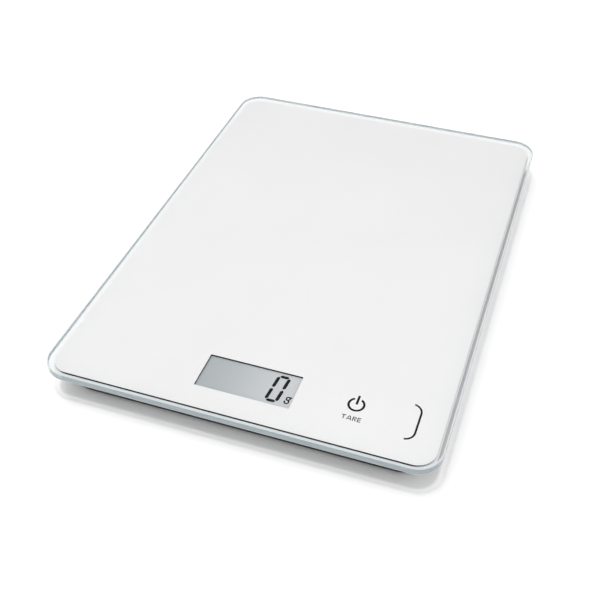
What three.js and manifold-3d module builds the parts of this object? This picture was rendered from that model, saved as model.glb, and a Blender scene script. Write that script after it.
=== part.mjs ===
// Flat kitchen scale with a glass platter. Millimetres, +Z up, +Y away from the display.
// The origin is on the ground, under the middle of the platter.
import * as THREE from "three";
import { mergeVertices } from "three/addons/utils/BufferGeometryUtils.js";
import Module from "manifold-3d";

// Platter
const platterWidth = 185;
const platterLength = 255;
const platterCorner = 12;
const smallestCorner = 1; // of outlines that follow the platter
const glassThickness = 4;
const arris = 0.6; // ground edge round the glass, top and bottom
const sideMargin = 3; // bare glass beside the ink on its underside
const endMargin = 3.6; // bare glass in front of and behind the ink

// Layers between the glass and the ground
const groundGap = 1.5; // underside of the cover above the ground
const wall = 1.6; // moulded walls of both housings
const tapeThickness = 1.2;
const tapeWidth = 8;
const tapeSetback = 1; // of its outer edge behind the print's, at the sides
const windowDepth = 1; // underside of the glass to the display's face
const glueGap = 0.05; // between faces that are stuck or pressed together
const fitGap = 0.3; // between pieces that go into each other
const touchGap = 0.1; // between faces that only lie against each other
const past = 1; // how far a cutting body reaches past what it cuts

// Housings
const rimInset = 2.5; // widest line of the upper housing inside the platter's edge
const rimHeight = 0.9;
const rimChamfer = 0.9;
const coverInset = 8; // side wall of the cover inside the platter's edge
const coverCorner = 12;
const coverChamfer = 0.8;
const cornerSteps = 12; // flats in each rounded corner of the housings
const tapeInnerCorner = 4;
const seatCorner = 3; // of the load cells' seats
const seamHeight = 8.7; // where the two housings meet, above the ground
const ribThickness = 1.2;
const ribDepth = 2;
const ribShare = 0.6; // ribs' distance from the middle, as a share of the feet's

// Batteries: three AAA cells, side by side along Y
const batteryDiameter = 10.5;
const batteryLength = 44.5;
const batteryCount = 3;
const batterySpacing = 0.6; // air between two cells
const batteryNub = 1; // button of the plus end
const batteryNubShare = 0.36; // its radius as a share of the cell's
const batteryDent = 0.4; // how far the rim of the minus end stands back
const batteryDentShare = 0.72;
const contactThickness = 0.4;
const contactSize = 7;
const springLength = 3.6;
const springWire = 0.5;
const springWideDiameter = 6; // at the plate
const springNarrowDiameter = 3.9; // at the cell
const springTurns = 2.5;
const tabOut = 1.5; // solder tab outside the bay
const bayWall = 1.2;
const bayCeiling = 0.5;
const bayOffsetY = 15;
const doorThickness = 1.2;
const hookWidth = 6;
const hookReach = 1.6;
const hookThickness = 0.6;
const latchWidth = 12;
const gripCount = 3; // grooves for the fingertip, beside the latch
const gripWidth = 1.1;
const gripLength = 18;
const gripDepth = 0.4;
const gripSpacing = 2.4;

// Display and circuit board
const windowWidth = 45;
const windowLength = 19.5;
const windowFromFront = 25.3; // middle of the window behind the platter's front edge
const displayBorder = 2.75;
const displayLedge = 2.6;
const displayThickness = 2.8;
const reflectorThickness = 0.2;
const boardThickness = 1;
const boardWidth = 90;
const boardLength = 28;
const boardOffsetX = 2;
const zebraWidth = 1.6;
const blobDiameter = 11;
const blobHeight = 1.6;
const blobOffsetX = 6;
const capacitorDiameter = 4;
const capacitorHeight = 3;
const capacitorFromEnd = 14;
const capacitorOffsetY = -4;

// Touch key and unit button
const touchFromMiddle = 49.7;
const touchFromFront = 27.2;
const touchPadSize = 16;
const touchPadThickness = 0.3;
const touchSpringOffset = -6;
const touchSpringDiameter = 5;
const touchSpringTopDiameter = 3;
const touchSpringWire = 0.6;
const touchSpringTurns = 3.5;
const touchSpringRoom = 1; // round the spring where it passes the housing
const unitButtonX = -30;
const unitButtonDiameter = 8;
const unitChamfer = 0.3;
const unitFlange = 1.5; // beyond the button, all round
const unitFlangeThickness = 0.7;
const unitSwitchSize = 6;
const unitSwitchHeight = 3.5;
const unitPlungerDiameter = 3.4;
const unitPlungerOut = 0.6;
const unitPlungerIn = 1.6;
const unitTravel = 0.5;

// Feet and load cells
const footFromSide = 27.5; // middle of a foot inside the platter's edges
const footDiameter = 20;
const footFlange = 2; // beyond the foot, all round
const footPadInset = 1;
const footPadThickness = 1.4;
const footPadChamfer = 0.4;
const footPostDiameter = 8;
const footFlangeThickness = 0.7;
const footTravel = 0.3;
const cellSize = 26;
const cellThickness = 1.5;
const cellFrame = 4; // width of the outer frame
const cellTongue = 8;
const cellPad = 12;
const cellBottom = 7; // above the ground
const gaugeWidth = 7;
const gaugeLength = 4;
const gaugeThickness = 0.6;
const leadDiameter = 1.8; // three-core lead of a load cell
const wireDiameter = 1.4;
const wireBend = 3;
const laneFromBay = 22; // lane of the two back leads beside the bay
const frontLeadFromEnd = 11; // where the leads are soldered, from the board's ends
const backLeadFromEnd = 17;
const leadFromSeat = 5; // where a lead comes down to the floor
const leadClimb = 6; // floor in front of the board on which a lead starts to climb
const solderedLength = 4; // end of a lead under the board

// Screws
const screwDiameter = 2.5;
const screwHeadDiameter = 5;
const screwHeadHeight = 1.6;
const screwPocket = 1.9;
const screwCrown = 3.2; // flat of the head
const screwRim = 0.9; // height of the head's edge
const screwSlotWidth = 0.8;
const screwSlotLength = 2.8;
const screwSlotDepth = 0.8;
const bossWall = 1.9;
const coverScrewFromSide = 16.5;
const sideScrewShare = 0.66; // along Y, as a share of the feet's distance from the middle
const backScrewShare = 0.42; // along X, likewise
const boardScrewFromEdge = 3.5;

// Flats round the turned and the drilled shapes
const holeSides = 8;
const bossSides = 12;
const buttonSides = 20;
const footSides = 48;

// Sizes that follow from others
const footFlangeDiameter = footDiameter + 2 * footFlange;
const footPadDiameter = footDiameter - 2 * footPadInset;
const unitFlangeDiameter = unitButtonDiameter + 2 * unitFlange;
const tabWidth = contactSize / 3;

// Heights that follow from the layers
const doorTop = groundGap + doorThickness;
const batteryAxisZ = doorTop + touchGap + batteryDiameter / 2;
const bayCeilingZ = batteryAxisZ + batteryDiameter / 2 + touchGap;
const glassBottom = bayCeilingZ + bayCeiling + touchGap;
const glassTop = glassBottom + glassThickness;
const housingTop = glassBottom - tapeThickness;
const plateBottom = housingTop - wall;
const coverFloorTop = groundGap + wall;
const displayTop = glassBottom - windowDepth;
const displayBottom = displayTop - displayThickness;
const boardTop = displayBottom - reflectorThickness - 2 * glueGap;
const boardBottom = boardTop - boardThickness;
const cellTop = cellBottom + cellThickness;
const screwBossBottom = groundGap + screwPocket + wall + fitGap;

// Places in plan that follow from the platter
const frontY = -platterLength / 2;
const displayY = frontY + windowFromFront;
const touchY = frontY + touchFromFront;
const footX = platterWidth / 2 - footFromSide;
const footY = platterLength / 2 - footFromSide;
const boardY = displayY;
const bayWidth = batteryCount * batteryDiameter + (batteryCount - 1) * batterySpacing + 2 * fitGap;
const bayLength = batteryLength + springLength + 2 * contactThickness + 3 * fitGap;
const bayFront = bayOffsetY - bayLength / 2;
const bayBack = bayOffsetY + bayLength / 2;

const wasm = await Module();
wasm.setup();

// Solids

function solid(geometry) {
  const bare = geometry.clone();
  for (const name of Object.keys(bare.attributes)) {
    if (name !== "position") bare.deleteAttribute(name);
  }
  const merged = mergeVertices(bare, 1e-4);
  return new wasm.Manifold(
    new wasm.Mesh({
      numProp: 3,
      vertProperties: merged.attributes.position.array,
      triVerts: new Uint32Array(merged.index.array),
    }),
  );
}

function geometryOf(body) {
  const mesh = body.getMesh();
  return new THREE.BufferGeometry()
    .setAttribute("position", new THREE.BufferAttribute(new Float32Array(mesh.vertProperties), 3))
    .setIndex(new THREE.BufferAttribute(new Uint32Array(mesh.triVerts), 1));
}

function cut(body, ...tools) {
  return tools.reduce((left, tool) => left.subtract(tool), body);
}

function join(first, ...others) {
  return others.reduce((left, other) => left.add(other), first);
}

// Shapes and simple bodies

function roundedRectangle(width, length, radius, x = 0, y = 0) {
  const right = x + width / 2 - radius;
  const left = x - width / 2 + radius;
  const back = y + length / 2 - radius;
  const front = y - length / 2 + radius;
  const quarter = Math.PI / 2;
  const shape = new THREE.Shape();
  shape.moveTo(right + radius, front);
  shape.lineTo(right + radius, back);
  shape.absarc(right, back, radius, 0, quarter, false);
  shape.lineTo(left, back + radius);
  shape.absarc(left, back, radius, quarter, 2 * quarter, false);
  shape.lineTo(left - radius, front);
  shape.absarc(left, front, radius, 2 * quarter, 3 * quarter, false);
  shape.lineTo(right, front - radius);
  shape.absarc(right, front, radius, 3 * quarter, 4 * quarter, false);
  return shape;
}

function extrudeUp(shape, bottom, top, curveSegments = cornerSteps) {
  const settings = { depth: top - bottom, bevelEnabled: false, curveSegments };
  return solid(new THREE.ExtrudeGeometry(shape, settings).translate(0, 0, bottom));
}

// A slab whose top and bottom edges slope in by bevelOut over bevelUp.
function extrudeSloped(shape, bottom, top, bevelOut, bevelUp) {
  const geometry = new THREE.ExtrudeGeometry(shape, {
    depth: top - bottom - 2 * bevelUp,
    bevelEnabled: true,
    bevelThickness: bevelUp,
    bevelSize: bevelOut,
    bevelOffset: -bevelOut,
    bevelSegments: 1,
    curveSegments: cornerSteps,
  });
  return solid(geometry.translate(0, 0, bottom + bevelUp));
}

function block(width, length, bottom, top, x = 0, y = 0) {
  return solid(new THREE.BoxGeometry(width, length, top - bottom).translate(x, y, (bottom + top) / 2));
}

function disc(diameter, bottom, top, x, y, sides) {
  const geometry = new THREE.CylinderGeometry(diameter / 2, diameter / 2, top - bottom, sides);
  return solid(geometry.rotateX(Math.PI / 2).translate(x, y, (bottom + top) / 2));
}

// A turned body standing at x, y: pairs of radius and height from the bottom of its axis to the top.
function turned(profile, x, y, sides) {
  const points = profile.map(([radius, height]) => new THREE.Vector2(radius, height));
  return solid(new THREE.LatheGeometry(points, sides).rotateX(Math.PI / 2).translate(x, y, 0));
}

function roundRod(path, diameter, sides, steps) {
  const section = new THREE.Shape();
  for (let i = 0; i < sides; i++) {
    const angle = (2 * Math.PI * i) / sides;
    const place = [(diameter / 2) * Math.cos(angle), (diameter / 2) * Math.sin(angle)];
    if (i === 0) section.moveTo(...place);
    else section.lineTo(...place);
  }
  return solid(new THREE.ExtrudeGeometry(section, { steps, bevelEnabled: false, extrudePath: path }));
}

// A wire laid straight from point to point, with rounded bends.
function wire(places, diameter, steps, sides = 6) {
  const points = places.map((place) => new THREE.Vector3(...place));
  const path = new THREE.CurvePath();
  let from = points[0];
  for (let i = 1; i < points.length - 1; i++) {
    const corner = points[i];
    const before = points[i - 1].distanceTo(corner) / 2;
    const after = points[i + 1].distanceTo(corner) / 2;
    const bend = Math.min(wireBend, before, after);
    const into = corner.clone().lerp(points[i - 1], bend / (2 * before));
    const out = corner.clone().lerp(points[i + 1], bend / (2 * after));
    path.add(new THREE.LineCurve3(from, into));
    path.add(new THREE.QuadraticBezierCurve3(into, corner, out));
    from = out;
  }
  path.add(new THREE.LineCurve3(from, points.at(-1)));
  return roundRod(path, diameter, sides, steps);
}

// A coil of wire from one end of its axis to the other.
// The function along turns a point on the upright coil into its place.
function coil(startDiameter, endDiameter, length, turns, thickness, along) {
  const stepsPerTurn = 8;
  const wireSides = 5;
  const steps = Math.round(turns * stepsPerTurn);
  const points = [];
  for (let i = 0; i <= steps; i++) {
    const share = i / steps;
    const angle = 2 * Math.PI * turns * share;
    const radius = THREE.MathUtils.lerp(startDiameter, endDiameter, share) / 2 - thickness / 2;
    const height = thickness / 2 + (length - thickness) * share;
    points.push(along(radius * Math.cos(angle), radius * Math.sin(angle), height));
  }
  return roundRod(new THREE.CatmullRomCurve3(points), thickness, wireSides, steps);
}

// Materials

function material(color, roughness, metalness = 0, opacity = 1) {
  return new THREE.MeshStandardMaterial({ color, roughness, metalness, opacity, transparent: opacity < 1 });
}

const clearGlass = material(0xdfeae8, 0.05, 0, 0.35);
const blackFoam = material(0x18191b, 0.95);
const whiteAbs = material(0xf1f3f4, 0.4);
const charcoalAbs = material(0x2a2c2e, 0.55);
const blackRubber = material(0x1d1e1f, 0.9);
const springSteel = material(0xb9bcc0, 0.3, 1);
const nickelPlate = material(0xc9c6bd, 0.3, 1);
const screwSteel = material(0x8f9296, 0.35, 1);
const displayGlass = material(0xb4bbb7, 0.15);
const silverFoil = material(0xc8ccce, 0.35, 0.8);
const greenBoard = material(0x1f5a3a, 0.5);
const blackEpoxy = material(0x101112, 0.4);
const zebraRubber = material(0x6f8fae, 0.8);
const copperFoil = material(0xb8744a, 0.35, 1);
const whiteSilicone = material(0xe9e9e4, 0.6);
const batteryJacket = material(0x4d5a66, 0.35, 0.4);
const greyPvc = material(0x8b8d90, 0.6);
const redPvc = material(0xb02a24, 0.6);
const blackPvc = material(0x151515, 0.6);

const scale = new THREE.Group();

function add(name, body, finish) {
  const mesh = new THREE.Mesh(geometryOf(body), finish);
  mesh.name = name;
  scale.add(mesh);
}

// Outline of the platter moved in by an inset.
function platterOutline(inset, radius = Math.max(platterCorner - inset, smallestCorner)) {
  return roundedRectangle(platterWidth - 2 * inset, platterLength - 2 * inset, radius);
}

// Positions that repeat

const corners = [
  { name: "front_left", x: -footX, y: -footY, side: -1, end: -1 },
  { name: "front_right", x: footX, y: -footY, side: 1, end: -1 },
  { name: "back_left", x: -footX, y: footY, side: -1, end: 1 },
  { name: "back_right", x: footX, y: footY, side: 1, end: 1 },
];

const batteries = Array.from({ length: batteryCount }, (_, i) => ({
  name: ["left", "middle", "right"][i],
  x: (i - (batteryCount - 1) / 2) * (batteryDiameter + batterySpacing),
  turn: i % 2 === 0 ? 1 : -1, // 1 has its button end at the back
}));

const coverScrews = [];
for (const side of [-1, 1]) {
  for (const y of [-footY * sideScrewShare, 0, footY * sideScrewShare]) {
    coverScrews.push([side * (platterWidth / 2 - coverScrewFromSide), y]);
  }
  coverScrews.push([side * footX * backScrewShare, platterLength / 2 - coverScrewFromSide]);
}

const boardScrews = [-1, 1].map((side) => [
  boardOffsetX + side * (boardWidth / 2 - boardScrewFromEdge),
  boardY + boardLength / 2 - boardScrewFromEdge,
]);

// Glass and what is stuck to it

function makePlatter() {
  add("glass_platter", extrudeSloped(platterOutline(0), glassBottom, glassTop, arris, arris), clearGlass);
}

// Outline inside the print's edge, moved in by an inset.
function tapeOutline(inset, radius) {
  return roundedRectangle(
    platterWidth - 2 * (sideMargin + tapeSetback + inset),
    platterLength - 2 * (endMargin + inset),
    radius,
  );
}

function makeTape() {
  const outside = extrudeUp(
    tapeOutline(touchGap, platterCorner - sideMargin),
    housingTop + glueGap,
    glassBottom - glueGap,
  );
  const inside = extrudeUp(tapeOutline(tapeWidth, tapeInnerCorner), housingTop, glassBottom);
  add("platter_tape", cut(outside, inside), blackFoam);
}

// Upper housing: a dish turned over, with the bosses, seats and ribs under its plate

// The dish: its underside slopes in from the rim to the seam, and its plate carries the glass.
function housingShell() {
  const slopeTop = housingTop - rimChamfer - rimHeight;
  const slopeIn = coverInset - rimInset;
  const slopeDown = slopeTop - seamHeight;
  const sloped = (inset) =>
    extrudeSloped(platterOutline(inset), seamHeight, housingTop + slopeDown, slopeIn, slopeDown);
  const topEdge = extrudeSloped(
    platterOutline(rimInset),
    seamHeight - rimChamfer - past,
    housingTop,
    rimChamfer,
    rimChamfer,
  );
  const mouth = extrudeUp(
    platterOutline(coverInset + wall, coverCorner - wall),
    seamHeight - past,
    seamHeight + past,
  );
  const roof = block(platterWidth, platterLength, plateBottom, housingTop + slopeDown + past);
  return cut(topEdge.intersect(sloped(rimInset)), cut(join(sloped(rimInset + wall), mouth), roof));
}

// The seat that holds a load cell by its outer frame.
function cellSeat({ x, y }) {
  const seatSize = cellSize + 2 * fitGap + 2 * bossWall;
  const inner = cellSize - 2 * cellFrame;
  const room = cellSize + 2 * fitGap;
  const outside = extrudeUp(
    roundedRectangle(seatSize, seatSize, seatCorner, x, y),
    cellTop - cellThickness / 2,
    plateBottom + touchGap,
  );
  const inside = block(inner, inner, cellBottom, plateBottom, x, y);
  const cellSpace = block(room, room, cellBottom - past, cellTop + touchGap, x, y);
  return cut(outside, inside, cellSpace);
}

function screwBosses() {
  const bore = screwDiameter + 2 * fitGap;
  const underPlate = plateBottom + touchGap;
  return [
    ...coverScrews.map(([x, y]) => disc(bore + 2 * bossWall, screwBossBottom, underPlate, x, y, bossSides)),
    ...boardScrews.map(([x, y]) => disc(bore + bossWall, boardTop + touchGap, underPlate, x, y, bossSides)),
  ];
}

function plateRibs() {
  const bottom = plateBottom - ribDepth;
  const top = plateBottom + touchGap;
  const longRib = 2 * (footY - cellSize / 2 - bossWall - 2 * fitGap);
  const crossRib = 2 * ribShare * footX;
  return [-1, 1].flatMap((side) => [
    block(ribThickness, longRib, bottom, top, side * ribShare * footX, 0),
    block(crossRib, ribThickness, bottom, top, 0, side * ribShare * footY),
  ]);
}

function housingOpenings() {
  const bottom = plateBottom - past;
  const top = housingTop + past;
  const roomRound = 2 * displayBorder + 2 * fitGap;
  const bayRound = 2 * bayWall + 2 * fitGap;
  const touchX = touchFromMiddle + touchSpringOffset;
  const touchHole = touchSpringDiameter + 2 * touchSpringRoom;
  return [
    ...[...coverScrews, ...boardScrews].map(([x, y]) =>
      disc(screwDiameter + 2 * fitGap, coverFloorTop, plateBottom + wall / 2, x, y, holeSides),
    ),
    block(windowWidth + roomRound, windowLength + roomRound, bottom, top, 0, displayY),
    disc(touchHole, bottom, top, touchX, touchY, 2 * holeSides),
    block(bayWidth + bayRound, bayLength + bayRound, seamHeight - past, top, 0, bayOffsetY),
  ];
}

function makeUpperHousing() {
  const body = join(housingShell(), ...corners.map(cellSeat), ...screwBosses(), ...plateRibs());
  add("upper_housing", cut(body, ...housingOpenings()), whiteAbs);
}

// Cover: a tray with the battery bay, screw pockets and the openings for the feet and the button

function coverTray() {
  const topOfWall = seamHeight - fitGap;
  const tool = topOfWall + coverChamfer + past;
  const chamfered = extrudeSloped(
    platterOutline(coverInset, coverCorner),
    groundGap,
    tool,
    coverChamfer,
    coverChamfer,
  );
  const inner = platterOutline(coverInset + wall, coverCorner - wall);
  const inside = extrudeUp(inner, coverFloorTop, tool + past);
  const above = block(platterWidth, platterLength, topOfWall, tool + past);
  return cut(chamfered, inside, above);
}

function makeBottomCover() {
  const head = screwHeadDiameter + 2 * fitGap;
  const pocketTop = groundGap + screwPocket;
  const bayOutside = block(
    bayWidth + 2 * bayWall,
    bayLength + 2 * bayWall,
    groundGap + touchGap,
    bayCeilingZ + bayCeiling,
    0,
    bayOffsetY,
  );
  const bayInside = block(bayWidth, bayLength, groundGap - past, bayCeilingZ, 0, bayOffsetY);
  const pocketWalls = coverScrews.map(([x, y]) =>
    disc(head + 2 * wall, coverFloorTop - touchGap, pocketTop + wall, x, y, bossSides),
  );
  const pockets = coverScrews.flatMap(([x, y]) => [
    disc(head, groundGap - past, pocketTop, x, y, bossSides),
    disc(screwDiameter + 2 * fitGap, groundGap, seamHeight, x, y, holeSides),
  ]);
  const footHoles = corners.map(({ x, y }) =>
    disc(footDiameter + 4 * fitGap, groundGap - past, coverFloorTop + past, x, y, footSides),
  );
  const buttonHole = disc(
    unitButtonDiameter + 2 * fitGap,
    groundGap - past,
    coverFloorTop + past,
    unitButtonX,
    boardY,
    buttonSides,
  );
  const tray = cut(join(coverTray(), bayOutside), bayInside, ...doorNotches(), ...tabSlots());
  add("bottom_cover", cut(join(tray, ...pocketWalls), ...pockets, ...footHoles, buttonHole), charcoalAbs);
}

// Recesses in the ends of the bay for the door's hooks and its latch.
function doorNotches() {
  const reach = hookReach + 2 * fitGap;
  const hooks = [-1, 1].map((side) =>
    block(
      hookWidth + 2 * fitGap,
      reach + past,
      doorTop - hookThickness - 2 * touchGap,
      doorTop + reach,
      side * (bayWidth / 2 - hookWidth),
      bayFront - (reach - past) / 2,
    ),
  );
  const latch = block(
    latchWidth + 2 * fitGap,
    2 * bayWall + past,
    groundGap - past,
    doorTop + bayWall + fitGap,
    0,
    bayBack,
  );
  return [...hooks, latch];
}

// Slots in the ends of the bay for the solder tabs of the first and the last contact.
function tabSlots() {
  const halfHeight = 2 * contactThickness;
  return [
    [batteries[0].x, bayFront - bayWall / 2],
    [batteries[batteryCount - 1].x, bayBack + bayWall / 2],
  ].map(([x, y]) =>
    block(tabWidth + 2 * fitGap, 2 * bayWall, batteryAxisZ - halfHeight, batteryAxisZ + halfHeight, x, y),
  );
}

// Display, board and what is on them

function makeDisplay() {
  const width = windowWidth + 2 * displayBorder;
  const length = windowLength + 2 * displayBorder;
  const frame = block(width, length, displayTop + glueGap, glassBottom - glueGap, 0, displayY);
  const window = block(windowWidth, windowLength, displayTop, glassBottom, 0, displayY);
  add("lcd_gasket", cut(frame, window), blackFoam);

  const middle = (displayTop + displayBottom) / 2;
  const front = block(width, length, middle, displayTop, 0, displayY);
  const rear = block(width, length - 2 * displayLedge, displayBottom, middle + touchGap, 0, displayY);
  add("lcd_panel", join(front, rear), displayGlass);

  const reflectorTop = displayBottom - glueGap;
  const reflector = block(
    windowWidth,
    length - 2 * displayLedge,
    reflectorTop - reflectorThickness,
    reflectorTop,
    0,
    displayY,
  );
  add("lcd_reflector", reflector, silverFoil);
  for (const [name, end] of [["front", -1], ["back", 1]]) {
    const y = displayY + end * (length / 2 - displayLedge / 2);
    const strip = block(windowWidth, zebraWidth, boardTop + glueGap, middle - glueGap, 0, y);
    add(`zebra_strip_${name}`, strip, zebraRubber);
  }
}

function makeBoard() {
  const outline = roundedRectangle(boardWidth, boardLength, 1, boardOffsetX, boardY);
  const holes = boardScrews.map(([x, y]) =>
    disc(screwDiameter + 2 * fitGap, boardBottom - past, boardTop + past, x, y, holeSides),
  );
  add("main_board", cut(extrudeUp(outline, boardBottom, boardTop, 2), ...holes), greenBoard);
}

// What is soldered or cast under the board.
function makeBoardParts() {
  const top = boardBottom - glueGap;
  const blob = turned(
    [
      [0, top - blobHeight],
      [blobDiameter * 0.28, top - blobHeight * 0.9],
      [blobDiameter * 0.42, top - blobHeight * 0.55],
      [blobDiameter / 2, top],
      [0, top],
    ],
    boardOffsetX + blobOffsetX,
    boardY,
    buttonSides,
  );
  add("controller_blob", blob, blackEpoxy);

  const capacitorX = boardOffsetX + boardWidth / 2 - capacitorFromEnd;
  const capacitorY = boardY + capacitorOffsetY;
  const can = disc(capacitorDiameter, top - capacitorHeight, top, capacitorX, capacitorY, bossSides);
  add("buffer_capacitor", can, batteryJacket);
}

function makeTouchKey() {
  const padTop = glassBottom - glueGap;
  const padBottom = padTop - touchPadThickness;
  const pad = block(touchPadSize, touchPadSize, padBottom, padTop, touchFromMiddle, touchY);
  add("touch_pad", pad, copperFoil);
  const start = boardTop + touchGap;
  const length = padBottom - touchGap - start;
  const along = (x, y, z) =>
    new THREE.Vector3(touchFromMiddle + touchSpringOffset + x, touchY + y, start + z);
  const spring = coil(
    touchSpringDiameter,
    touchSpringTopDiameter,
    length,
    touchSpringTurns,
    touchSpringWire,
    along,
  );
  add("touch_spring", spring, springSteel);
}

function makeUnitSwitch() {
  const top = boardBottom - glueGap;
  const bottom = top - unitSwitchHeight;
  const plungerTop = bottom + unitPlungerIn;
  const boreTop = plungerTop + unitTravel + fitGap + touchGap;
  const boreDiameter = unitPlungerDiameter + 2 * fitGap;
  const bore = disc(boreDiameter, bottom - past, boreTop, unitButtonX, boardY, bossSides);
  const box = block(unitSwitchSize, unitSwitchSize, bottom, top, unitButtonX, boardY);
  const plunger = disc(
    unitPlungerDiameter,
    bottom - unitPlungerOut,
    plungerTop,
    unitButtonX,
    boardY,
    bossSides,
  );
  add("unit_switch", cut(box, bore), blackEpoxy);
  add("unit_switch_plunger", plunger, whiteSilicone);
}

function makeUnitButton() {
  const radius = unitButtonDiameter / 2;
  const flangeRadius = unitFlangeDiameter / 2;
  const stemRadius = unitPlungerDiameter / 2;
  const bottom = groundGap + touchGap;
  const flangeBottom = coverFloorTop + touchGap;
  const flangeTop = flangeBottom + unitFlangeThickness;
  const stemTop = boardBottom - unitSwitchHeight - unitPlungerOut - 2 * glueGap;
  const button = turned(
    [
      [0, bottom],
      [radius - unitChamfer, bottom],
      [radius, bottom + unitChamfer],
      [radius, flangeBottom],
      [flangeRadius, flangeBottom],
      [flangeRadius, flangeTop],
      [stemRadius, flangeTop],
      [stemRadius, stemTop],
      [0, stemTop],
    ],
    unitButtonX,
    boardY,
    buttonSides,
  );
  add("unit_button", button, greyPvc);
}

// Batteries, their contacts and the door

function makeBatteries() {
  const radius = batteryDiameter / 2;
  const shoulder = batteryLength - batteryNub;
  const profile = [
    [0, 0],
    [radius * batteryDentShare, 0],
    [radius * batteryDentShare, batteryDent],
    [radius, batteryDent],
    [radius, shoulder],
    [radius * batteryNubShare, shoulder],
    [radius * batteryNubShare, batteryLength],
    [0, batteryLength],
  ];
  for (const { name, x, turn } of batteries) {
    const points = profile.map(([r, y]) => new THREE.Vector2(r, y - batteryLength / 2));
    const geometry = new THREE.LatheGeometry(points, buttonSides);
    if (turn < 0) geometry.rotateX(Math.PI);
    const shift = (turn * (springLength + fitGap)) / 2;
    geometry.translate(x, bayOffsetY + shift, batteryAxisZ);
    add(`battery_${name}`, solid(geometry), batteryJacket);
  }
}

// Outer face of the contacts at one end of the bay.
function contactBackY(end) {
  return bayOffsetY + end * (bayLength / 2 - touchGap);
}

// Where the solder tab of a contact ends, outside the bay.
function tabEndY(end) {
  return bayOffsetY + end * (bayLength / 2 + bayWall + tabOut);
}

// A coil that presses on the minus end of one cell.
function cellSpring(x, faceY, end) {
  const along = (a, b, c) =>
    new THREE.Vector3(x + a, faceY + end * (springWire / 2 - c), batteryAxisZ + b);
  return coil(
    springWideDiameter,
    springNarrowDiameter,
    springLength - contactThickness,
    springTurns,
    springWire,
    along,
  );
}

// One contact: a plate over one or two cells at one end of the bay, with a coil under each minus end.
function contactBody(cells, end, withTab) {
  const halfHeight = contactSize / 2;
  const halfThickness = contactThickness / 2;
  const left = cells[0].x - halfHeight;
  const right = cells.at(-1).x + halfHeight;
  const faceY = contactBackY(end) - end * contactThickness;
  const plate = block(
    right - left,
    contactThickness,
    batteryAxisZ - halfHeight,
    batteryAxisZ + halfHeight,
    (left + right) / 2,
    contactBackY(end) - end * halfThickness,
  );
  const springs = cells.filter(({ turn }) => turn !== end).map(({ x }) => cellSpring(x, faceY, end));
  const body = join(plate, ...springs);
  if (!withTab) return body;
  const tab = block(
    tabWidth,
    Math.abs(faceY - tabEndY(end)),
    batteryAxisZ - halfThickness,
    batteryAxisZ + halfThickness,
    cells[0].x,
    (faceY + tabEndY(end)) / 2,
  );
  return join(body, tab);
}

function makeContacts() {
  const [first, second, third] = batteries;
  add("contact_minus", contactBody([first], -1, true), nickelPlate);
  add("contact_back_bridge", contactBody([first, second], 1, false), nickelPlate);
  add("contact_front_bridge", contactBody([second, third], -1, false), nickelPlate);
  add("contact_plus", contactBody([third], 1, true), nickelPlate);
}

function makeBatteryDoor() {
  const front = bayFront + fitGap;
  const back = bayBack - fitGap;
  const latchReach = bayWall + fitGap;
  const panel = block(bayWidth - 2 * fitGap, back - front, groundGap, doorTop, 0, (front + back) / 2);
  const hooks = [-1, 1].map((side) =>
    block(
      hookWidth,
      hookReach + past,
      doorTop - hookThickness,
      doorTop,
      side * (bayWidth / 2 - hookWidth),
      front - (hookReach - past) / 2,
    ),
  );
  const latch = block(latchWidth, latchReach + past, groundGap, doorTop, 0, back + (latchReach - past) / 2);
  const grips = Array.from({ length: gripCount }, (_, i) =>
    block(gripLength, gripWidth, groundGap - past, groundGap + gripDepth, 0, back - (i + 1) * gripSpacing),
  );
  add("battery_door", cut(join(panel, ...hooks, latch), ...grips), charcoalAbs);
}

// Load cells and feet

function makeLoadCell({ name, x, y, end }) {
  const window = cellSize - 2 * cellFrame;
  const outline = roundedRectangle(cellSize, cellSize, 2, x, y);
  const plate = extrudeUp(outline, cellBottom, cellTop);
  const hole = block(window, window, cellBottom - past, cellTop + past, x, y);
  const pad = block(cellPad, cellPad, cellBottom, cellTop, x, y);
  const root = window / 2 + touchGap;
  const tongue = block(cellTongue, root, cellBottom, cellTop, x, y - (end * root) / 2);
  add(`load_cell_${name}`, join(cut(plate, hole), pad, tongue), springSteel);

  const gaugeTop = cellBottom - glueGap;
  const gaugeY = y - end * (cellPad / 2 + gaugeLength / 2 + fitGap);
  const gauge = block(gaugeWidth, gaugeLength, gaugeTop - gaugeThickness, gaugeTop, x, gaugeY);
  add(`strain_gauge_${name}`, gauge, whiteSilicone);
}

function makeFoot({ name, x, y }) {
  const radius = footDiameter / 2;
  const flangeRadius = footFlangeDiameter / 2;
  const postRadius = footPostDiameter / 2;
  const padRadius = footPadDiameter / 2;
  const bottom = footPadThickness + glueGap;
  const flangeBottom = coverFloorTop + fitGap;
  const flangeTop = flangeBottom + footFlangeThickness;
  const postTop = cellBottom - footTravel - touchGap;
  const carrier = [
    [0, bottom],
    [radius, bottom],
    [radius, flangeBottom],
    [flangeRadius, flangeBottom],
    [flangeRadius, flangeTop],
    [postRadius, flangeTop],
    [postRadius, postTop],
    [0, postTop],
  ];
  const pad = [
    [0, 0],
    [padRadius - footPadChamfer, 0],
    [padRadius, footPadChamfer],
    [padRadius, footPadThickness],
    [0, footPadThickness],
  ];
  add(`foot_carrier_${name}`, turned(carrier, x, y, footSides), charcoalAbs);
  add(`foot_pad_${name}`, turned(pad, x, y, footSides), blackRubber);
}

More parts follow.
